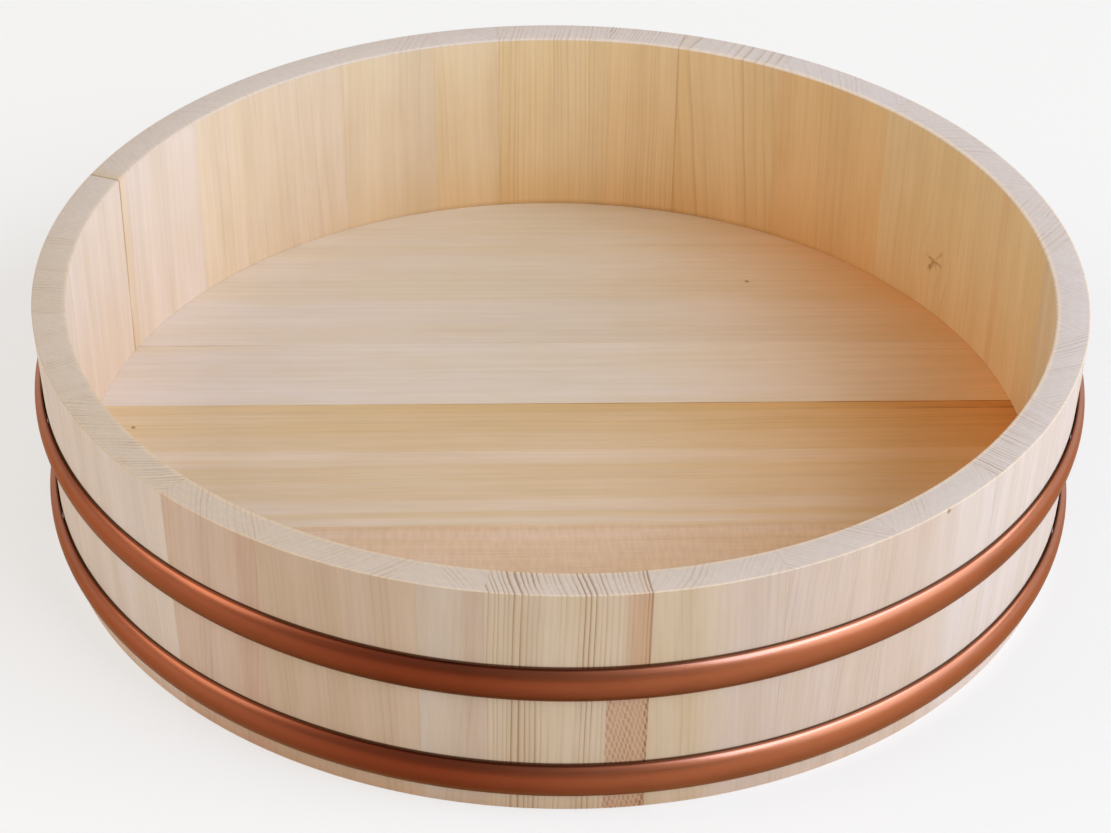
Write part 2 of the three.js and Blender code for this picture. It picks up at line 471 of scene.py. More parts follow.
def boardSpan(node):  # lowest and highest place across the boards, which lie a little turned
    lift = Matrix.Rotation(-floorSet["turn"], 3, "Z")
    across = [(lift @ vertex.co).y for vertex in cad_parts[node].data.vertices]
    return min(across), max(across)


def boardLevels(radius, clear):  # radius, height and how far the joint edges draw in, from the top down
    ease = floorSet["jointEase"]
    under = floorTop - floorSet["thick"]
    return [
        (radius - ease, floorTop, ease),
        (radius, floorTop - ease, 0),
        (radius, floorTop - floorSet["tongue"], 0),
        (clear, floorTop - floorSet["tongue"], 0),
        (clear - floorSet["bevel"], under + ease, 0),
        (clear - floorSet["bevel"] - ease, under, ease),
    ]


def boardFaces(levels, steps):  # each level has a row of points at the right end and then one at the left
    row = steps + 1
    faces = []
    for level in range(levels - 1):
        here = level * 2 * row
        there = here + 2 * row
        for step in range(steps):
            left = here + row + step
            under = there + row + step
            faces.append([here + step, there + step, there + step + 1, here + step + 1])
            faces.append([left, left + 1, under + 1, under])
        faces.append([here, here + row, there + row, there])
        faces.append([here + row - 1, there + row - 1, there + 2 * row - 1, here + 2 * row - 1])
    bottom = (levels - 1) * 2 * row
    for step in range(steps):
        faces.append([step, step + 1, step + 1 + row, step + row])
        faces.append([bottom + step, bottom + step + row, bottom + step + 1 + row, bottom + step + 1])
    return faces


def endTone(tones, rightness):
    return mixTones(toneSet[tones[0]], toneSet[tones[1]], rightness)


def boardMarks(habit, side, rightness, nearness, away, point):  # what the wood reads at a point of a board
    return {
        "boardTone": mixTones(endTone(habit["far"], rightness), endTone(habit["near"], rightness), nearness),
        "floorShade": (lerp(*habit["redShade"], nearness), habit["golden"] * (1 - nearness), habit["flecks"]),
        "jointMark": (away, habit["glue"][side == 1], habit["bands"]),
        "grainHabit": (habit["rings"] * mm, lerp(*habit["lines"], clamp(nearness * 2)), habit["seed"]),
        "speckMark": point - Vector((*habit["speck"], floorTop)),
    }


def buildBoard(name, seed):
    node = f"floor_board_{name}"
    habit = {**plainBoard, **floorHabits[name], "seed": seed}
    closing = (floorSet["cadGap"] - floorSet["jointGap"]) / 2
    low, high = boardSpan(node)
    low -= closing
    high += closing
    radius = insideAt(floorTop) + staveSet["grooveDepth"] - floorSet["fit"]
    levels = boardLevels(radius, insideAt(0) - floorSet["clear"])
    spin = Matrix.Rotation(floorSet["turn"], 3, "Z")
    points = []
    places = []
    marks = {}
    for reach, height, drawn in levels:
        start = math.asin(clamp((low + drawn) / reach, -1, 1))
        end = math.asin(clamp((high - drawn) / reach, -1, 1))
        isUnder = height <= floorTop - floorSet["tongue"]  # there the ends' tones meet in the middle
        for side in (1, -1):
            for step in range(floorSet["arcSteps"] + 1):
                angle = lerp(start, end, step / floorSet["arcSteps"])
                flat = Vector((side * reach * math.cos(angle), reach * math.sin(angle), height))
                nearness = clamp((high - flat.y) / (high - low))
                rightness = (1 + (flat.x / reach if isUnder else side)) / 2
                points.append(spin @ flat)
                places.append((flat.y, flat.z - floorTop, flat.x))
                addMarks(marks, boardMarks(habit, side, rightness, nearness, high - flat.y, points[-1]))
    marks["grainPlace"] = grainPlaces(places, habit["saw"])
    faces = boardFaces(len(levels), floorSet["arcSteps"])
    return makePiece(f"floorPlank_{name}", points, faces, marks, node)


boards = []
for index, name in enumerate(floorHabits):
    boards.append(buildBoard(name, floorSet["firstSeed"] + index * floorSet["seedStep"]))
print("floor:", len(boards), "boards")


# Hoops: copper sheet rolled to a half-round, hollow behind, brazed shut at the back
hoopSet = {
    "proud": 3.1 * mm,
    "sheet": 0.8 * mm,
    "lip": 0.9 * mm,
    "lowGap": 0.25 * mm,
    "highGap": 0.5 * mm,
    "outerSteps": 20,
    "innerSteps": 10,
    "segments": 240,
    "crease": 50 * degree,
    "seamAt": 97 * degree,
    "seamWidth": 0.35 * mm,
    "seamDepth": 0.22 * mm,
    "seamEdge": 0.8,  # how much brazing shows beside the seam, and over how many of its widths that fades
    "seamFade": 4,
    "darkReflection": (257 * degree, 19 * degree),  # where a dark reflection is painted on the copper, and how far that goes
    # where a sheen is painted, and how far it goes
    "paintedSheen": (303 * degree, 43 * degree),
    "glint": (229 * degree, 13 * degree),
    "glintFrom": 0.3,  # height on the upper half where the painted glint starts, and how fast it grows above that
    "glintRise": 2,
}


def hoopSection(halfWidth):
    proud = hoopSet["proud"]
    section = []
    for half, rise, steps, way in (
        (halfWidth, proud, hoopSet["outerSteps"], 1),
        (halfWidth - hoopSet["lip"], proud - hoopSet["sheet"], hoopSet["innerSteps"], -1),
    ):
        bow = (half * half + rise * rise) / (2 * rise)
        reach = math.asin(half / bow)
        for step in range(steps + 1):
            turn = lerp(-reach, reach, step / steps) * way
            section.append((rise - bow + bow * math.cos(turn), bow * math.sin(turn)))
    return section


def hoopColumns(radius):  # angle round the tub, depth of the brazed seam there and how much brazing shows
    beside = hoopSet["seamWidth"] / radius
    faded = hoopSet["seamFade"] * beside
    edge = hoopSet["seamEdge"]
    columns = [(0.0, hoopSet["seamDepth"], 1.0), (beside, 0.0, edge), (faded, 0.0, 0.0)]
    for segment in range(1, hoopSet["segments"]):
        columns.append((math.tau * segment / hoopSet["segments"], 0.0, 0.0))
    return columns + [(-faded, 0.0, 0.0), (-beside, 0.0, edge)]


def hoopMarks(angle, height, out, brazed):  # what the copper reads at a point, its height from -1 to 1
    darkReflection = bell(angle, *hoopSet["darkReflection"])
    paintedSheen = bell(angle, *hoopSet["paintedSheen"])
    glint = bell(angle, *hoopSet["glint"]) * clamp((height - hoopSet["glintFrom"]) * hoopSet["glintRise"])
    return {
        "hoopPlace": (height, out / hoopSet["proud"], brazed),
        "hoopReflections": (darkReflection, paintedSheen, glint),
    }


def buildHoop(name):
    node = f"{name}_hoop"
    low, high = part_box(node)
    middle = (low.z + high.z) / 2
    halfWidth = (high.z - low.z) / 2
    section = hoopSection(halfWidth)
    columns = hoopColumns(outsideAt(middle))
    points = []
    marks = {}
    for turn, sunk, brazed in columns:
        angle = hoopSet["seamAt"] + turn
        for out, up in section:
            height = up / halfWidth
            standOff = lerp(hoopSet["lowGap"], hoopSet["highGap"], (height + 1) / 2)
            radius = outsideAt(middle + up) + standOff + out - sunk
            points.append((radius * math.cos(angle), radius * math.sin(angle), middle + up))
            addMarks(marks, hoopMarks(angle, height, out, brazed))
    faces = sweepFaces(len(section), len(columns), True)
    return makePiece(f"copperHoop_{name}", points, faces, marks, node, hoopSet["crease"])


hoops = [buildHoop("upper"), buildHoop("lower")]
print("hoops:", len(hoops))


# Node helpers
amount, place3d = "NodeSocketFloat", "NodeSocketVector"


def fill(tree, node, values):  # link a node's inputs to sockets, or set them to plain values
    for label, value in values.items():
        if isinstance(value, bpy.types.NodeSocket):
            tree.links.new(value, node.inputs[label])
        else:
            node.inputs[label].default_value = value


def addNode(tree, kind, values, **settings):
    node = tree.nodes.new("ShaderNode" + kind)
    for name, setting in settings.items():
        setattr(node, name, setting)
    fill(tree, node, values)
    return node.outputs


def calc(tree, operation, *values):
    return addNode(tree, "Math", dict(enumerate(values)), operation=operation)[0]


def times(tree, product, *values):
    for value in values:
        product = calc(tree, "MULTIPLY", product, value)
    return product


def lengthOf(tree, across, up):
    return calc(tree, "SQRT", calc(tree, "ADD", times(tree, across, across), times(tree, up, up)))


# From one range to another, smoothly unless said otherwise
def spread(tree, value, low, high, toLow=0.0, toHigh=1.0, interpolation="SMOOTHSTEP"):
    values = dict(enumerate((value, low, high, toLow, toHigh)))
    return addNode(tree, "MapRange", values, interpolation_type=interpolation)["Result"]


def fade(tree, value, low, high):  # from 1 down to 0
    return spread(tree, value, low, high, 1.0, 0.0)


def blendColours(tree, share, first, second, mode="MIX"):
    return addNode(tree, "Mix", {0: share, 6: first, 7: second}, data_type="RGBA", blend_type=mode)[2]


def stain(tree, share, surface, stainTint):  # multiply a colour by a tint where the share asks for it
    return blendColours(tree, share, surface, stainTint, "MULTIPLY")


def vary(tree, share, surface, level, lowTint, highTint):  # multiply by a tint that changes with a level
    return stain(tree, share, surface, blendColours(tree, level, lowTint, highTint))


def joinPlace(tree, x, y, z):
    return addNode(tree, "CombineXYZ", {0: x, 1: y, 2: z})[0]


def split(tree, place):
    return addNode(tree, "SeparateXYZ", {0: place})


def noise(tree, place, scales, seed, detail=2.0, rough=0.5):  # scaled in three directions, slid by a seed
    slide = joinPlace(tree, seed, seed, seed)
    spot = addNode(tree, "VectorMath", {0: place, 1: scales, 2: slide}, operation="MULTIPLY_ADD")[0]
    values = {"Vector": spot, "Scale": 1.0, "Detail": detail, "Roughness": rough}
    return addNode(tree, "TexNoise", values)["Fac"]


def noiseAlong(tree, value, detail=1.0):
    values = {"W": value, "Scale": 1.0, "Detail": detail}
    return addNode(tree, "TexNoise", values, noise_dimensions="1D")["Fac"]


def relief(tree, height, strength, depth):
    return addNode(tree, "Bump", {"Height": height, "Strength": strength, "Distance": depth})["Normal"]


def readMark(tree, name, output="Vector"):
    return addNode(tree, "Attribute", {}, attribute_name=name)[output]


def readParts(tree, name):
    return split(tree, readMark(tree, name))


def newGroup(name, inputs, outputs):
    tree = bpy.data.node_groups.new(name, "ShaderNodeTree")
    for label, kind in inputs.items():
        tree.interface.new_socket(label, in_out="INPUT", socket_type=kind)
    for label in outputs:
        tree.interface.new_socket(label, in_out="OUTPUT", socket_type=amount)
    return tree, tree.nodes.new("NodeGroupInput").outputs, tree.nodes.new("NodeGroupOutput")


def useGroup(tree, group, values):
    return addNode(tree, "Group", values, node_tree=group)


ringSet = {
    "sway": (22, 22, 7),  # scales of the noise that bends the rings and of the one that roughens them
    "shake": (240, 240, 30),
    "shakeDepth": 0.5 * mm,
    "uneven": 0.31,
    "unevenDepth": 1.6,
    "rise": 4.5,
    "drop": (0.86, 1.0),
    "bands": 0.17,
    "strokesAcross": 4300.0,  # wild grain is a weave of short strokes, set in radians a metre
    "strokesUp": 1250.0,
    "strokesLean": 380.0,
    "strokesBend": 9.0,
    "strokesSway": 14.0,
    "strokes": (-0.25, 0.45, 0.0, 1.05),
}


def growthRingsGroup():  # rings round the log's centre: pale early wood, then a dark line that ends sharply
    tree, given, result = newGroup(
        "growthRings",
        {"Place": place3d, "Spacing": amount, "Seed": amount, "Waver": amount, "Ripple": amount},
        ("Latewood", "Ring", "Band"),
    )
    x, y, z = split(tree, given["Place"])
    slow = noise(tree, given["Place"], ringSet["sway"], given["Seed"])
    fine = noise(tree, given["Place"], ringSet["shake"], given["Seed"])
    sway = times(tree, calc(tree, "SUBTRACT", slow, 0.5), given["Waver"])
    shake = times(tree, calc(tree, "SUBTRACT", fine, 0.5), ringSet["shakeDepth"])
    reach = calc(tree, "ADD", calc(tree, "ADD", lengthOf(tree, x, y), sway), shake)
    count = calc(tree, "ADD", calc(tree, "DIVIDE", reach, given["Spacing"]), given["Seed"])
    uneven = noiseAlong(tree, times(tree, count, ringSet["uneven"]))
    count = calc(tree, "ADD", count, times(tree, uneven, ringSet["unevenDepth"]))
    share = calc(tree, "FRACT", count)
    line = times(tree, calc(tree, "POWER", share, ringSet["rise"]), fade(tree, share, *ringSet["drop"]))
    bend = times(tree, fine, ringSet["strokesBend"])
    lean = calc(tree, "MULTIPLY_ADD", z, ringSet["strokesLean"], bend)
    across = calc(tree, "MULTIPLY_ADD", x, ringSet["strokesAcross"], lean)
    rise = calc(tree, "MULTIPLY_ADD", slow, ringSet["strokesSway"], bend)
    up = calc(tree, "MULTIPLY_ADD", z, ringSet["strokesUp"], rise)
    weave = times(tree, calc(tree, "COSINE", across), calc(tree, "COSINE", up))
    stroke = calc(tree, "SUBTRACT", spread(tree, weave, *ringSet["strokes"]), line)
    number = calc(tree, "FLOOR", count)
    fill(tree, result, {
        "Latewood": calc(tree, "MULTIPLY_ADD", stroke, given["Ripple"], line),
        "Ring": addNode(tree, "TexWhiteNoise", {"W": number}, noise_dimensions="1D")["Value"],
        "Band": noiseAlong(tree, times(tree, count, ringSet["bands"]), 2.0),
    })
    return tree


fibreSet = {  # scale across, outward and along the grain, detail and roughness of each noise
    "Streak": ((520, 520, 16), 3.0, 0.6),
    "Hair": ((2600, 2600, 70), 2.0, 0.6),
    "Fade": ((70, 70, 11), 2.0, 0.5),
    "Mottle": ((95, 95, 30), 3.0, 0.55),
    "Fleck": ((130, 130, 620), 2.0, 0.6),
}


def woodFibreGroup():  # fine streaks that run with the grain, and on end grain the dots of the same fibres
    tree, given, result = newGroup("woodFibre", {"Place": place3d, "Seed": amount}, fibreSet)
    for label, (scales, detail, rough) in fibreSet.items():
        fill(tree, result, {label: noise(tree, given["Place"], scales, given["Seed"], detail, rough)})
    return tree


speckSet = {
    "ragged": ((1500, 1500, 1500), 2.0, 2.0, 0.6),  # scales, seed, detail and roughness of a noise
    "bite": 1.2 * mm,
    "edge": (-0.2 * mm, 0.6 * mm),
}


def pinSpeckGroup():  # one small dark ragged spot
    tree, given, result = newGroup("pinSpeck", {"Away": place3d}, ["Speck"])
    length = addNode(tree, "VectorMath", {0: given["Away"]}, operation="LENGTH")["Value"]
    ragged = noise(tree, given["Away"], *speckSet["ragged"])
    reach = calc(tree, "MULTIPLY_ADD", ragged, -speckSet["bite"], length)
    fill(tree, result, {"Speck": fade(tree, reach, *speckSet["edge"])})
    return tree


glueSet = {
    "wander": 0.7 * mm,
    "line": (-0.1 * mm, 0.5 * mm),
    "soak": (0.0, 8 * mm),
    "broken": (0.25, 0.6, 0.35, 1.0),
}


def glueLineGroup():  # a joint's thin dark line, broken up along its length, and the faint stain beside it
    inputs = {"Away": amount, "Strength": amount, "Broken": amount}
    tree, given, result = newGroup("glueLine", inputs, ("Line", "Soak"))
    strength = spread(tree, given["Strength"], 0.0, 1.0)
    wander = calc(tree, "MULTIPLY_ADD", given["Broken"], -glueSet["wander"], given["Away"])
    line = fade(tree, wander, *glueSet["line"])
    whole = spread(tree, given["Broken"], *glueSet["broken"])
    fill(tree, result, {
        "Line": times(tree, line, strength, whole),
        "Soak": times(tree, fade(tree, given["Away"], *glueSet["soak"]), strength),
    })
    return tree


knotSet = {
    "ragged": ((620, 420, 1), 5.0, 3.0, 0.65),
    "bend": 3.4 * mm,
    "start": (-0.6 * mm, 0.4 * mm),
    "taper": 2.5,
    "patches": (0.36, 0.6, 0.2, 1.0),
    "arms": (  # where each arm ends across and up, its width, all in mm from the middle, and its depth
        (5.6, 0.6, 1.3, 1.0),
        (-4.5, 6.6, 1.1, 0.45),
        (3.4, -6.2, 1.3, 1.0),
        (-5.1, -0.6, 1.2, 0.85),
        (-1.8, -4.4, 1.1, 0.5),
    ),
}


def knotStrokesGroup():  # a small forked mark with soft broken strokes, where a twig was cut through
    inputs = {"Across": amount, "Up": amount, "Strength": amount}
    tree, given, result = newGroup("knotStrokes", inputs, ["Knot"])
    x = given["Across"]
    y = given["Up"]
    flat = joinPlace(tree, x, y, 0.0)
    ragged = noise(tree, flat, *knotSet["ragged"])
    bend = times(tree, calc(tree, "SUBTRACT", ragged, 0.5), knotSet["bend"])
    knot = 0.0
    for across, up, width, depth in knotSet["arms"]:
        length = math.hypot(across, up)
        cosine = across / length
        sine = up / length
        along = calc(tree, "ADD", times(tree, x, cosine), times(tree, y, sine))
        beside = calc(tree, "SUBTRACT", times(tree, x, sine), times(tree, y, cosine))
        beside = calc(tree, "ABSOLUTE", calc(tree, "ADD", beside, bend))
        thin = spread(tree, beside, 0.0, width * mm, depth, 0.0)
        started = spread(tree, along, *knotSet["start"])
        ended = fade(tree, along, (length - knotSet["taper"]) * mm, length * mm)
        knot = calc(tree, "MAXIMUM", times(tree, thin, started, ended), knot)
    patches = spread(tree, ragged, *knotSet["patches"])
    fill(tree, result, {"Knot": times(tree, knot, patches, given["Strength"])})
    return tree


growthRings = growthRingsGroup()
woodFibre = woodFibreGroup()
pinSpeck = pinSpeckGroup()
glueLine = glueLineGroup()
knotStrokes = knotStrokesGroup()


def newMaterial(name):
    material = bpy.data.materials.new(name)
    material.use_nodes = True
    tree = material.node_tree
    return material, tree, tree.nodes["Principled BSDF"]


# Wood: what the staves and the floor share, tints that multiply the wood's tone and ranges for spread
woodSet = {
    "late": (0.62, 0.48, 0.37, 1.0),
    "mottle": ((1.01, 1.015, 1.035, 1.0), (0.985, 0.97, 0.93, 1.0)),
    "glue": (0.46, 0.31, 0.20, 1.0),
    "soak": (0.95, 0.88, 0.68, 1.0),
    "speck": (0.56, 0.42, 0.30, 1.0),
    "lateByRing": (0.0, 1.0, 0.45, 1.35),
    "lateByFade": (0.32, 0.66, 0.3, 1.2),
    "lateByBand": (0.36, 0.64, 0.65, 1.35),
    "wander": (0.3, 0.7),
    "streak": (0.25, 0.75, 0.96, 1.03),
    "roughness": (0.2, 0.8, 0.54, 0.74),
    "specular": 0.32,
    "relief": (0.5, 0.12 * mm),  # strength and depth
    "lateRelief": 0.15,
    "hairRelief": 0.5,
}


def readGrain(tree, place, waver, ripple):  # rings and fibre of a board, and how strong its dark lines are
    spacing, lines, seed = readParts(tree, "grainHabit")
    rings = useGroup(tree, growthRings, {
        "Place": place, "Spacing": spacing, "Seed": seed, "Waver": waver, "Ripple": ripple,
    })
    fibre = useGroup(tree, woodFibre, {"Place": readMark(tree, "grainPlace"), "Seed": seed})
    late = times(
        tree, rings["Latewood"], lines,
        spread(tree, rings["Ring"], *woodSet["lateByRing"]),
        spread(tree, fibre["Fade"], *woodSet["lateByFade"]),
        spread(tree, rings["Band"], *woodSet["lateByBand"]),
    )
    return rings, fibre, late


def mottleWood(tree, wood, fibre):
    level = spread(tree, fibre["Mottle"], *woodSet["wander"])
    return vary(tree, 1.0, wood, level, *woodSet["mottle"])


def finishWood(tree, shader, wood, late, fibre):  # dark lines, streaks, glue, specks, sheen and relief
    away, share = readParts(tree, "jointMark")[:2]
    glue = useGroup(tree, glueLine, {"Away": away, "Strength": share, "Broken": fibre["Mottle"]})
    speck = useGroup(tree, pinSpeck, {"Away": readMark(tree, "speckMark")})["Speck"]
    wood = stain(tree, late, wood, woodSet["late"])
    wood = stain(tree, 1.0, wood, spread(tree, fibre["Streak"], *woodSet["streak"]))
    wood = stain(tree, glue["Soak"], wood, woodSet["soak"])
    wood = stain(tree, glue["Line"], wood, woodSet["glue"])
    wood = stain(tree, speck, wood, woodSet["speck"])
    hair = times(tree, fibre["Hair"], woodSet["hairRelief"])
    height = calc(tree, "MULTIPLY_ADD", late, woodSet["lateRelief"], hair)
    fill(tree, shader, {
        "Base Color": wood,
        "Roughness": spread(tree, fibre["Hair"], *woodSet["roughness"]),
        "Specular IOR Level": woodSet["specular"],
        "Normal": relief(tree, height, *woodSet["relief"]),
    })


wallSet = {
    "waver": 6 * mm,
    "bands": ((1.02, 1.02, 1.01, 1.0), (0.97, 0.955, 0.92, 1.0)),
    "heart": (0.86, 0.67, 0.60, 1.0),
    "heartSoft": (5 * mm, 1 * mm),  # softness of the red wood's edge above and below its step
    "knot": (0.50, 0.38, 0.25, 1.0),
    "knotReach": 20 * mm,
    "knotPull": 0.6,
    "knotLines": 3.0,
    "endGrain": (0.2, 0.55),
    "endLines": 0.9,
    "rimShare": 0.85,
    # pale rim edges: wear and painted highlight
    "edgeWearAndSheen": (1.20, 1.12, 0.96, 1.0),
    "innerArris": (1.1 * mm, 1.9 * mm),
    "outerArris": (0.4 * mm, 0.8 * mm),
    # painted warm shade along the foot of the wall, weakest on the lit side
    "foot": (0.99, 0.86, 0.76, 1.0),
    "footHeight": 8 * mm,
    "shade": ((1.02, 1.05, 1.10, 1.0), (0.95, 0.87, 0.79, 1.0)),  # painted shade of the inner wall, lighter by the rim and darker by the floor
    # painted shade in the inner corner by the floor, and a darker contact shadow along it
    "cornerShade": (0.975, 0.90, 0.79, 1.0),
    "cornerShadeHeight": 27 * mm,
    "contactShadow": (0.82, 0.72, 0.60, 1.0),
    "contactShadowHeight": 2.4 * mm,
    "hoopCreaseShade": (0.30, 0.17, 0.10, 1.0),
    "hoopCreaseShadeWidth": (0.3 * mm, 0.7 * mm),
}


def heartwood(tree, along):  # red wood beside a joint, wider below a height that the upper hoop covers
    away, share, wild = readParts(tree, "heartMark")
    above, below, step = readParts(tree, "heartSize")
    softAbove, softBelow = wallSet["heartSoft"]
    lower = calc(tree, "LESS_THAN", along, step)
    width = calc(tree, "MULTIPLY_ADD", lower, calc(tree, "SUBTRACT", below, above), above)
    blur = calc(tree, "MULTIPLY_ADD", lower, (softBelow - softAbove) / 2, softAbove / 2)
    edge = spread(tree, calc(tree, "SUBTRACT", width, away), times(tree, blur, -1.0), blur)
    return times(tree, edge, share), times(tree, edge, wild, lower)


def bendRoundKnot(tree, place, across, up, share):  # the grain is pushed aside on both sides of a knot
    near = spread(tree, lengthOf(tree, across, up), 0.0, wallSet["knotReach"], wallSet["knotPull"], 0.0)
    pull = times(tree, near, share)
    x, y, z = split(tree, place)
    return pull, joinPlace(tree, calc(tree, "SUBTRACT", x, times(tree, across, pull)), y, z)


def capRim(tree, wood, end):  # end grain of the rim, pale along its edges from wear and painted highlight
    fromInside, fromOutside, wearAndSheen = readParts(tree, "rimPlace")
    inner = fade(tree, fromInside, *wallSet["innerArris"])
    outer = fade(tree, fromOutside, *wallSet["outerArris"])
    edgeWearAndSheen = times(tree, calc(tree, "MAXIMUM", inner, outer), wearAndSheen)
    rimTone = stain(tree, edgeWearAndSheen, readMark(tree, "rimTone", "Color"), wallSet["edgeWearAndSheen"])
    return blendColours(tree, times(tree, end, wallSet["rimShare"]), wood, rimTone)


def shadeWall(tree, wood, along):  # painted shade: warm at the foot, on the inner wall towards the floor and in its corner, and a dark line above each hoop
    gradient, cornerShade, footShare = readParts(tree, "wallShade")
    overUpper, overLower, outside = readParts(tree, "hoopMark")
    foot = fade(tree, along, 0.0, wallSet["footHeight"])
    wood = stain(tree, times(tree, foot, footShare), wood, wallSet["foot"])
    depth = spread(tree, along, floorTop, tubTop, 1.0, 0.0, "LINEAR")
    wood = vary(tree, gradient, wood, depth, *wallSet["shade"])
    for name in ("cornerShade", "contactShadow"):
        low = fade(tree, along, floorTop, floorTop + wallSet[name + "Height"])
        wood = stain(tree, times(tree, low, cornerShade), wood, wallSet[name])
    # painted crease shade: a dark line on the outer wood just above each hoop
    overUpper = calc(tree, "ABSOLUTE", overUpper)
    overLower = calc(tree, "ABSOLUTE", overLower)
    line = fade(tree, calc(tree, "MINIMUM", overUpper, overLower), *wallSet["hoopCreaseShadeWidth"])
    return stain(tree, times(tree, line, outside), wood, wallSet["hoopCreaseShade"])


def staveWood():
    material, tree, shader = newMaterial("staveWood")
    place = readMark(tree, "grainPlace")
    along = split(tree, place)[2]
    knotAcross, knotUp, knotShare = readParts(tree, "knotMark")
    heart, wild = heartwood(tree, along)
    pull, bent = bendRoundKnot(tree, place, knotAcross, knotUp, knotShare)
    rings, fibre, late = readGrain(tree, bent, wallSet["waver"], wild)
    knot = useGroup(tree, knotStrokes, {"Across": knotAcross, "Up": knotUp, "Strength": knotShare})["Knot"]
    facing = calc(tree, "ABSOLUTE", split(tree, addNode(tree, "NewGeometry", {})["Normal"])[2])
    end = spread(tree, facing, *wallSet["endGrain"])
    late = times(
        tree, late,
        calc(tree, "MULTIPLY_ADD", pull, wallSet["knotLines"], 1.0),
        calc(tree, "MULTIPLY_ADD", end, wallSet["endLines"], 1.0),
    )
    level = spread(tree, rings["Band"], *woodSet["wander"])
    wood = readMark(tree, "boardTone", "Color")
    wood = vary(tree, 1.0, wood, level, *wallSet["bands"])
    wood = mottleWood(tree, wood, fibre)
    wood = stain(tree, heart, wood, wallSet["heart"])
    wood = capRim(tree, wood, end)
    wood = shadeWall(tree, wood, along)
    wood = stain(tree, knot, wood, wallSet["knot"])
    finishWood(tree, shader, wood, late, fibre)
    return material


plankSet = {
    "waver": 5 * mm,
    "bands": ((1.03, 1.06, 1.15, 1.0), (0.98, 0.95, 0.84, 1.0)),
    "drift": (-20 * mm, 170 * mm),  # along the boards, where the painted red shade starts and where it is full
    "redPower": 2.2,
    "rightEndShade": (0.76, 0.60, 0.50, 1.0),
    "rightEndShadePower": 5.0,
    "golden": (0.57, 0.64, 0.0, 0.7),
    "goldenLevel": 0.6,
    "bleached": (1.07, 1.12, 1.28, 1.0),
    "bleachedAt": 32 * mm,  # from a board's far joint
    "bleachedWidth": (1.2 * mm, 3.8 * mm),
    "streakAt": 4.4 * mm,
    "streakPower": 4.0,
    "streakPatches": (0.44, 0.54),
    "flecks": ((1.03, 1.02, 1.02, 1.0), (0.965, 0.935, 0.93, 1.0)),
}


def farFrom(tree, value, place):
    return calc(tree, "ABSOLUTE", calc(tree, "SUBTRACT", value, place))


def bandPlanks(tree, wood, rings, golden, away, bands):  # bands of colour and one pale line
    level = spread(tree, rings["Band"], *woodSet["wander"])
    steady = spread(tree, golden, *plankSet["golden"])
    toGolden = calc(tree, "SUBTRACT", plankSet["goldenLevel"], level)
    level = calc(tree, "MULTIPLY_ADD", steady, toGolden, level)
    pale = fade(tree, farFrom(tree, away, plankSet["bleachedAt"]), *plankSet["bleachedWidth"])
    wood = stain(tree, times(tree, pale, bands), wood, plankSet["bleached"])
    rest = times(tree, bands, calc(tree, "SUBTRACT", 1.0, pale))
    return vary(tree, rest, wood, level, *plankSet["bands"])


def streakPlanks(tree, wood, drift, fibre, away, share):  # a broken dark streak near a far joint's right end
    beside = farFrom(tree, away, plankSet["streakAt"])
    streak = useGroup(tree, glueLine, {"Away": beside, "Strength": share, "Broken": fibre["Fade"]})["Line"]
    patches = fade(tree, fibre["Mottle"], *plankSet["streakPatches"])
    streak = times(tree, streak, calc(tree, "POWER", drift, plankSet["streakPower"]), patches)
    return stain(tree, streak, wood, woodSet["glue"])


def floorWood():
    material, tree, shader = newMaterial("floorWood")
    place = readMark(tree, "grainPlace")
    redShade, golden, flecks = readParts(tree, "floorShade")
    away, share, bands = readParts(tree, "jointMark")
    rings, fibre, late = readGrain(tree, place, plankSet["waver"], 0.0)
    drift = spread(tree, split(tree, place)[2], *plankSet["drift"], interpolation="LINEAR")
    redShaded = times(tree, calc(tree, "POWER", drift, plankSet["redPower"]), redShade)
    darkened = times(tree, calc(tree, "POWER", drift, plankSet["rightEndShadePower"]), golden)
    wood = readMark(tree, "boardTone", "Color")
    wood = blendColours(tree, redShaded, wood, toneSet["caramel"])
    wood = stain(tree, darkened, wood, plankSet["rightEndShade"])
    wood = bandPlanks(tree, wood, rings, golden, away, bands)
    wood = mottleWood(tree, wood, fibre)
    wood = streakPlanks(tree, wood, drift, fibre, away, share)
    level = spread(tree, fibre["Fleck"], *woodSet["wander"])
    wood = vary(tree, flecks, wood, level, *plankSet["flecks"])
    finishWood(tree, shader, wood, late, fibre)
    return material


# Copper: satin, darker at the lips (painted crease shade and tarnish) and on the lower half (painted shade),
# with painted reflections at fixed directions and a clear coat on the upper half
copperSet = {
    "metal": (0.39, 0.104, 0.043, 1.0),
    "tarnishAndLipShade": (0.07, 0.016, 0.008, 1.0),
    "tarnishShare": 0.85,
    "lowerShade": (0.46, 0.44, 0.44, 1.0),
    "lowerShadeSide": (-0.9, 0.7),
    "braze": (0.42, 0.26, 0.12, 1.0),
    "darkReflection": (0.60, 0.42, 0.36, 1.0),
    "paintedSheen": (1.22, 1.44, 1.46, 1.0),
    "glint": (1.35, 1.50, 1.60, 1.0),
    "grazing": (0.88, 0.66, 0.52, 1.0),
    "brush": ((25, 25, 2600), 3.0, 2.0, 0.6),
    "cloud": ((38, 38, 90), 11.0, 3.0, 0.55),
    "cloudTarnish": (0.5, 0.8, 0.0, 0.25),
    "cloudRoughness": 0.06,
    "lip": (0.09, 0.24),
    "satin": (0.25, 0.75, 0.30, 0.40),
    "coatSide": (0.45, 0.85, 0.0, 0.85),
    "coatPaintedSheen": 0.65,
    "coatPlain": 0.35,
    "coatDarkReflection": -0.6,
    "coatRoughness": 0.20,
    "coatIor": 2.0,
    "relief": (0.25, 0.03 * mm),
}


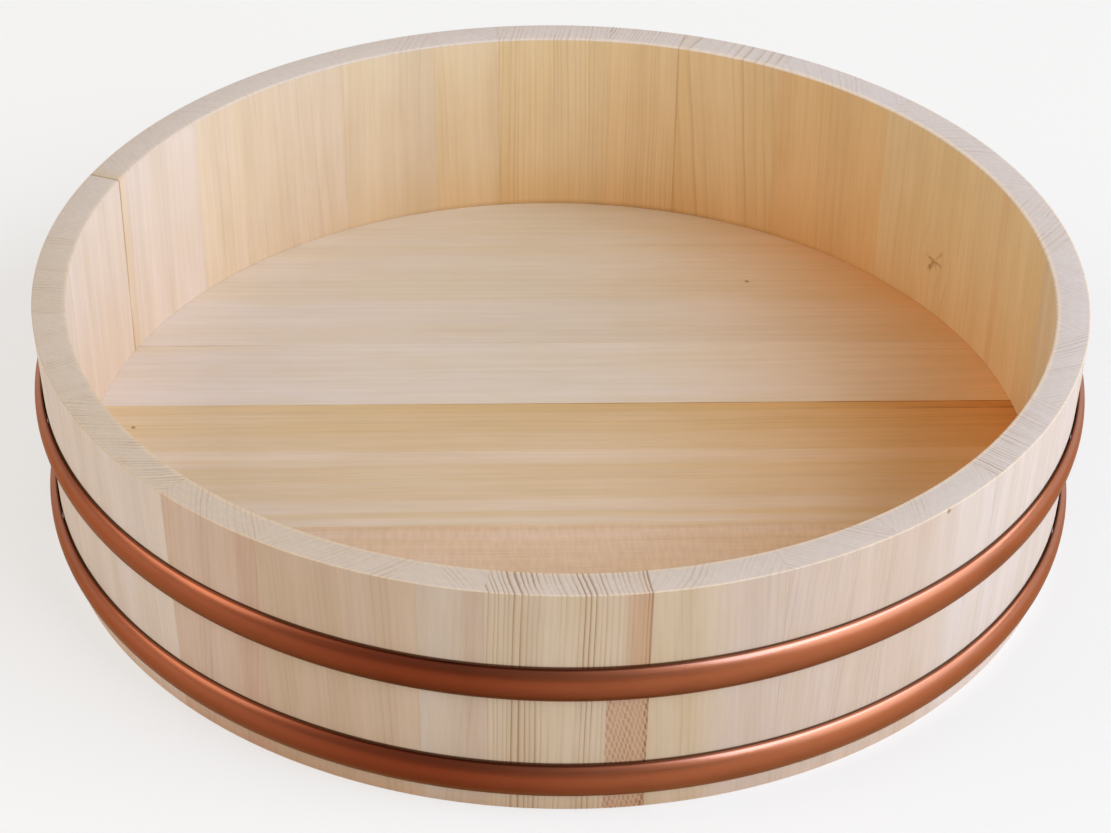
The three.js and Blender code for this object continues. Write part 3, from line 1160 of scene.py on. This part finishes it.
def hoopCopper():
    material, tree, shader = newMaterial("hoopCopper")
    place = addNode(tree, "TexCoord", {})["Object"]
    up, out, brazed = readParts(tree, "hoopPlace")
    darkReflection, paintedSheen, glint = readParts(tree, "hoopReflections")
    brush = noise(tree, place, *copperSet["brush"])
    cloud = noise(tree, place, *copperSet["cloud"])
    # darker at the lips, painted shade of the crease along the wall, and in random clouds of tarnish
    lip = fade(tree, out, *copperSet["lip"])
    tarnishAndShadeShare = calc(tree, "ADD", lip, spread(tree, cloud, *copperSet["cloudTarnish"]))
    tarnishAndShadeShare = times(tree, tarnishAndShadeShare, copperSet["tarnishShare"])
    metal = blendColours(tree, tarnishAndShadeShare, copperSet["metal"], copperSet["tarnishAndLipShade"])
    # painted shade over the lower half
    metal = stain(tree, fade(tree, up, *copperSet["lowerShadeSide"]), metal, copperSet["lowerShade"])
    # painted reflections at fixed directions: a dark one, a sheen and a glint
    metal = stain(tree, darkReflection, metal, copperSet["darkReflection"])
    metal = stain(tree, paintedSheen, metal, copperSet["paintedSheen"])
    metal = stain(tree, glint, metal, copperSet["glint"])
    metal = blendColours(tree, brazed, metal, copperSet["braze"])
    satin = spread(tree, brush, *copperSet["satin"])
    coat = times(
        tree, spread(tree, up, *copperSet["coatSide"]),
        calc(tree, "SUBTRACT", 1.0, lip),
        calc(tree, "MULTIPLY_ADD", paintedSheen, copperSet["coatPaintedSheen"], copperSet["coatPlain"]),
        calc(tree, "MULTIPLY_ADD", darkReflection, copperSet["coatDarkReflection"], 1.0),
    )
    fill(tree, shader, {
        "Base Color": metal,
        "Metallic": 1.0,
        "Roughness": calc(tree, "MULTIPLY_ADD", cloud, copperSet["cloudRoughness"], satin),
        "Coat Weight": coat,
        "Coat Roughness": copperSet["coatRoughness"],
        "Coat IOR": copperSet["coatIor"],
        "Specular Tint": copperSet["grazing"],
        "Normal": relief(tree, brush, *copperSet["relief"]),
    })
    return material


pinSet = {
    "dark": tint(206, 174, 112),
    "light": tint(224, 198, 144),
    "seed": 4.0,
    "roughness": (0.2, 0.8, 0.42, 0.6),
}


def pinBamboo():
    material, tree, shader = newMaterial("pinBamboo")
    place = addNode(tree, "TexCoord", {})["Object"]
    fibre = useGroup(tree, woodFibre, {"Place": place, "Seed": pinSet["seed"]})
    level = spread(tree, fibre["Streak"], *woodSet["wander"])
    fill(tree, shader, {
        "Base Color": blendColours(tree, level, pinSet["dark"], pinSet["light"]),
        "Roughness": spread(tree, fibre["Hair"], *pinSet["roughness"]),
    })
    return material


for pieces, finish in ((staves, staveWood()), (boards, floorWood()), (hoops, hoopCopper())):
    for piece in pieces:
        piece.data.materials.append(finish)
bamboo = pinBamboo()
for name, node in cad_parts.items():
    if "pin" in name:
        node.data.materials.clear()
        node.data.materials.append(bamboo)
print("materials: set")


# Studio: a pale floor, a large soft key from the right, a warmer fill from the left and an even surround
studioSet = {
    "floorSize": 30.0,
    "floorColour": tint(247, 247, 247),
    "floorRoughness": 0.9,
    "floorSpecular": 0.1,
    "floorGlow": 0.62,
    "surround": (1.0, 0.89, 0.75, 1.0),
    "surroundLevel": 0.30,
    "aim": Vector((0, 0, 0.04)),
}
lampSet = {  # place, width and height, watts, colour
    "key": ((2.95, -1.65, 2.8), (3.8, 2.2), 132, (0.88, 0.98, 1.14)),
    "card": ((3.2, -1.2, 0.75), (3.0, 1.2), 17, (1.0, 0.98, 0.94)),
    "side": ((3.5, 0.75, 1.3), (1.2, 1.2), 15, (1.0, 0.98, 0.92)),
    "fill": ((-3.4, -0.45, 2.5), (3.0, 3.0), 58, (1.0, 0.90, 0.75)),
}


def layFloor():  # keeps the tub's shadow, and glows a little where the camera or the copper sees it
    half = studioSet["floorSize"] / 2
    corners = [(-half, -half, 0), (half, -half, 0), (half, half, 0), (-half, half, 0)]
    mesh = bpy.data.meshes.new("studioFloor")
    mesh.from_pydata(corners, [], [[0, 1, 2, 3]])
    floor = addObject("studioFloor", mesh)
    material, tree, shader = newMaterial("studioFloor")
    fill(tree, shader, {
        "Base Color": studioSet["floorColour"],
        "Roughness": studioSet["floorRoughness"],
        "Specular IOR Level": studioSet["floorSpecular"],
    })
    path = addNode(tree, "LightPath", {})
    seen = calc(tree, "MAXIMUM", path["Is Camera Ray"], path["Is Glossy Ray"])
    seen = calc(tree, "MAXIMUM", seen, path["Is Transmission Ray"])
    glow = addNode(tree, "Emission", {})[0]
    share = times(tree, seen, studioSet["floorGlow"])
    surface = addNode(tree, "MixShader", {0: share, 1: shader.outputs[0], 2: glow})[0]
    fill(tree, tree.nodes["Material Output"], {"Surface": surface})
    mesh.materials.append(material)


def hangLamps():
    for name, (place, size, watts, tone) in lampSet.items():
        lamp = bpy.data.lights.new(name + "Lamp", "AREA")
        lamp.shape = "RECTANGLE"
        lamp.size = size[0]
        lamp.size_y = size[1]
        lamp.energy = watts
        lamp.color = tone
        holder = addObject(name + "Lamp", lamp)
        holder.location = place
        aim = studioSet["aim"] - Vector(place)
        holder.rotation_euler = aim.to_track_quat("-Z", "Y").to_euler()


def lightSurround():
    world = bpy.data.worlds.new("studioSurround")
    world.use_nodes = True
    tree = world.node_tree
    values = {"Color": studioSet["surround"], "Strength": studioSet["surroundLevel"]}
    fill(tree, tree.nodes["Background"], values)
    bpy.context.scene.world = world


layFloor()
hangLamps()
lightSurround()
bpy.context.scene.view_settings.view_transform = "Standard"
print("studio: lit")
